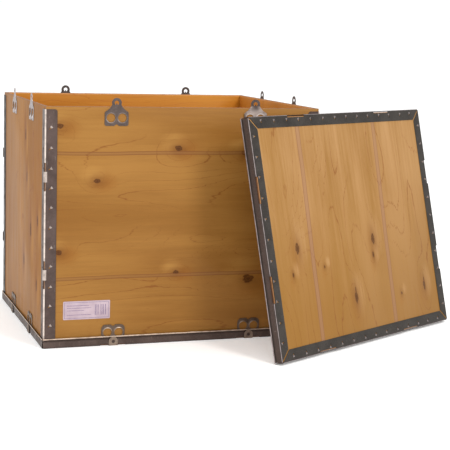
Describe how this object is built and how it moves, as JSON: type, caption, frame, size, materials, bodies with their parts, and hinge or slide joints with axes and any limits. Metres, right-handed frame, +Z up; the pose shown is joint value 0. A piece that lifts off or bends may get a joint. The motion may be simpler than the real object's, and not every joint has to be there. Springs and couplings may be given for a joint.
{
  "type": "shipping crate",
  "caption": "Collapsible plywood shipping crate with clinched steel profiles: hinged four-wall sleeve on a shallow base tray, with its tray lid off and leaning on a corner.",
  "frame": {"origin": "centre of the base's underside, on the floor", "axes": "+Z up, front wall towards -Y, long sides along X"},
  "size_m": [0.9467, 0.7202, 0.5053],
  "materials": {
    "wall_plywood": "bare plywood, fine sanded",
    "tray_plywood": "bare plywood, fine sanded",
    "lid_plywood": "bare plywood, fine sanded",
    "rim_steel": "galvanised, dull, lightly scuffed",
    "strip_steel": "galvanised, dull",
    "tongue_steel": "galvanised, dull",
    "label": "printed paper sticker, worn"
  },
  "bodies": {
    "crate": {"base_panel": "tray_plywood", "base_rim_front": "rim_steel", "base_rim_right": "rim_steel", "base_rim_back": "rim_steel", "base_rim_left": "rim_steel", "front_wall": "wall_plywood", "right_wall": "wall_plywood", "back_wall": "wall_plywood", "left_wall": "wall_plywood", "label": "label", "front_wall_corner_strip_right": "strip_steel", "front_wall_corner_strip_left": "strip_steel", "right_wall_corner_strip_back": "strip_steel", "right_wall_corner_strip_front": "strip_steel", "back_wall_corner_strip_left": "strip_steel", "back_wall_corner_strip_right": "strip_steel", "left_wall_corner_strip_front": "strip_steel", "left_wall_corner_strip_back": "strip_steel", "front_wall_top_tongue_right": "tongue_steel", "front_wall_bottom_tongue_right": "tongue_steel", "front_wall_top_tongue_left": "tongue_steel", "front_wall_bottom_tongue_left": "tongue_steel", "right_wall_top_tongue_back": "tongue_steel", "right_wall_bottom_tongue_back": "tongue_steel", "right_wall_top_tongue_front": "tongue_steel", "right_wall_bottom_tongue_front": "tongue_steel", "back_wall_top_tongue_left": "tongue_steel", "back_wall_bottom_tongue_left": "tongue_steel", "back_wall_top_tongue_right": "tongue_steel", "back_wall_bottom_tongue_right": "tongue_steel", "left_wall_top_tongue_front": "tongue_steel", "left_wall_bottom_tongue_front": "tongue_steel", "left_wall_top_tongue_back": "tongue_steel", "left_wall_bottom_tongue_back": "tongue_steel"},
    "lid": {"lid_panel": "lid_plywood", "lid_rim_upper": "rim_steel", "lid_rim_right": "rim_steel", "lid_rim_lower": "rim_steel", "lid_rim_left": "rim_steel"},
    "front_wall_top_tongue_right_tip": {"front_wall_top_tongue_right_tip": "tongue_steel"},
    "front_wall_bottom_tongue_right_tip": {"front_wall_bottom_tongue_right_tip": "tongue_steel"},
    "front_wall_top_tongue_left_tip": {"front_wall_top_tongue_left_tip": "tongue_steel"},
    "front_wall_bottom_tongue_left_tip": {"front_wall_bottom_tongue_left_tip": "tongue_steel"},
    "right_wall_top_tongue_back_tip": {"right_wall_top_tongue_back_tip": "tongue_steel"},
    "right_wall_bottom_tongue_back_tip": {"right_wall_bottom_tongue_back_tip": "tongue_steel"},
    "right_wall_top_tongue_front_tip": {"right_wall_top_tongue_front_tip": "tongue_steel"},
    "right_wall_bottom_tongue_front_tip": {"right_wall_bottom_tongue_front_tip": "tongue_steel"},
    "back_wall_top_tongue_left_tip": {"back_wall_top_tongue_left_tip": "tongue_steel"},
    "back_wall_bottom_tongue_left_tip": {"back_wall_bottom_tongue_left_tip": "tongue_steel"},
    "back_wall_top_tongue_right_tip": {"back_wall_top_tongue_right_tip": "tongue_steel"},
    "back_wall_bottom_tongue_right_tip": {"back_wall_bottom_tongue_right_tip": "tongue_steel"},
    "left_wall_top_tongue_front_tip": {"left_wall_top_tongue_front_tip": "tongue_steel"},
    "left_wall_bottom_tongue_front_tip": {"left_wall_bottom_tongue_front_tip": "tongue_steel"},
    "left_wall_top_tongue_back_tip": {"left_wall_top_tongue_back_tip": "tongue_steel"},
    "left_wall_bottom_tongue_back_tip": {"left_wall_bottom_tongue_back_tip": "tongue_steel"}
  },
  "joints": [
    {"name": "front_wall_top_tongue_right_bend", "type": "hinge", "parent": "crate", "child": "front_wall_top_tongue_right_tip", "pos_m": [0.1475, -0.24265, 0.4944], "axis": [1, 0, 0], "range_deg": [0, 180]},
    {"name": "front_wall_bottom_tongue_right_bend", "type": "hinge", "parent": "crate", "child": "front_wall_bottom_tongue_right_tip", "pos_m": [0.1475, -0.2452, 0.0006], "axis": [1, 0, 0], "range_deg": [0, 90]},
    {"name": "front_wall_top_tongue_left_bend", "type": "hinge", "parent": "crate", "child": "front_wall_top_tongue_left_tip", "pos_m": [-0.1475, -0.24265, 0.4944], "axis": [1, 0, 0], "range_deg": [0, 180]},
    {"name": "front_wall_bottom_tongue_left_bend", "type": "hinge", "parent": "crate", "child": "front_wall_bottom_tongue_left_tip", "pos_m": [-0.1475, -0.2452, 0.0006], "axis": [1, 0, 0], "range_deg": [0, 90]},
    {"name": "right_wall_top_tongue_back_bend", "type": "hinge", "parent": "crate", "child": "right_wall_top_tongue_back_tip", "pos_m": [0.29315, 0.0985, 0.4944], "axis": [0, 1, 0], "range_deg": [0, 180]},
    {"name": "right_wall_bottom_tongue_back_bend", "type": "hinge", "parent": "crate", "child": "right_wall_bottom_tongue_back_tip", "pos_m": [0.2957, 0.0985, 0.0006], "axis": [0, 1, 0], "range_deg": [0, 90]},
    {"name": "right_wall_top_tongue_front_bend", "type": "hinge", "parent": "crate", "child": "right_wall_top_tongue_front_tip", "pos_m": [0.29315, -0.0985, 0.4944], "axis": [0, 1, 0], "range_deg": [0, 180]},
    {"name": "right_wall_bottom_tongue_front_bend", "type": "hinge", "parent": "crate", "child": "right_wall_bottom_tongue_front_tip", "pos_m": [0.2957, -0.0985, 0.0006], "axis": [0, 1, 0], "range_deg": [0, 90]},
    {"name": "back_wall_top_tongue_left_bend", "type": "hinge", "parent": "crate", "child": "back_wall_top_tongue_left_tip", "pos_m": [-0.1475, 0.24265, 0.4944], "axis": [-1, 0, 0], "range_deg": [0, 180]},
    {"name": "back_wall_bottom_tongue_left_bend", "type": "hinge", "parent": "crate", "child": "back_wall_bottom_tongue_left_tip", "pos_m": [-0.1475, 0.2452, 0.0006], "axis": [-1, 0, 0], "range_deg": [0, 90]},
    {"name": "back_wall_top_tongue_right_bend", "type": "hinge", "parent": "crate", "child": "back_wall_top_tongue_right_tip", "pos_m": [0.1475, 0.24265, 0.4944], "axis": [-1, 0, 0], "range_deg": [0, 180]},
    {"name": "back_wall_bottom_tongue_right_bend", "type": "hinge", "parent": "crate", "child": "back_wall_bottom_tongue_right_tip", "pos_m": [0.1475, 0.2452, 0.0006], "axis": [-1, 0, 0], "range_deg": [0, 90]},
    {"name": "left_wall_top_tongue_front_bend", "type": "hinge", "parent": "crate", "child": "left_wall_top_tongue_front_tip", "pos_m": [-0.29315, -0.0985, 0.4944], "axis": [0, -1, 0], "range_deg": [0, 180]},
    {"name": "left_wall_bottom_tongue_front_bend", "type": "hinge", "parent": "crate", "child": "left_wall_bottom_tongue_front_tip", "pos_m": [-0.2957, -0.0985, 0.0006], "axis": [0, -1, 0], "range_deg": [0, 90]},
    {"name": "left_wall_top_tongue_back_bend", "type": "hinge", "parent": "crate", "child": "left_wall_top_tongue_back_tip", "pos_m": [-0.29315, 0.0985, 0.4944], "axis": [0, -1, 0], "range_deg": [0, 180]},
    {"name": "left_wall_bottom_tongue_back_bend", "type": "hinge", "parent": "crate", "child": "left_wall_bottom_tongue_back_tip", "pos_m": [-0.2957, 0.0985, 0.0006], "axis": [0, -1, 0], "range_deg": [0, 90]},
    {"name": "lid_tip", "type": "hinge", "parent": "crate", "child": "lid", "pos_m": [0.39039, -0.33306, 0.00453], "axis": [0.8813, 0.4726, 0], "range_deg": [0, 103.3]}
  ]
}
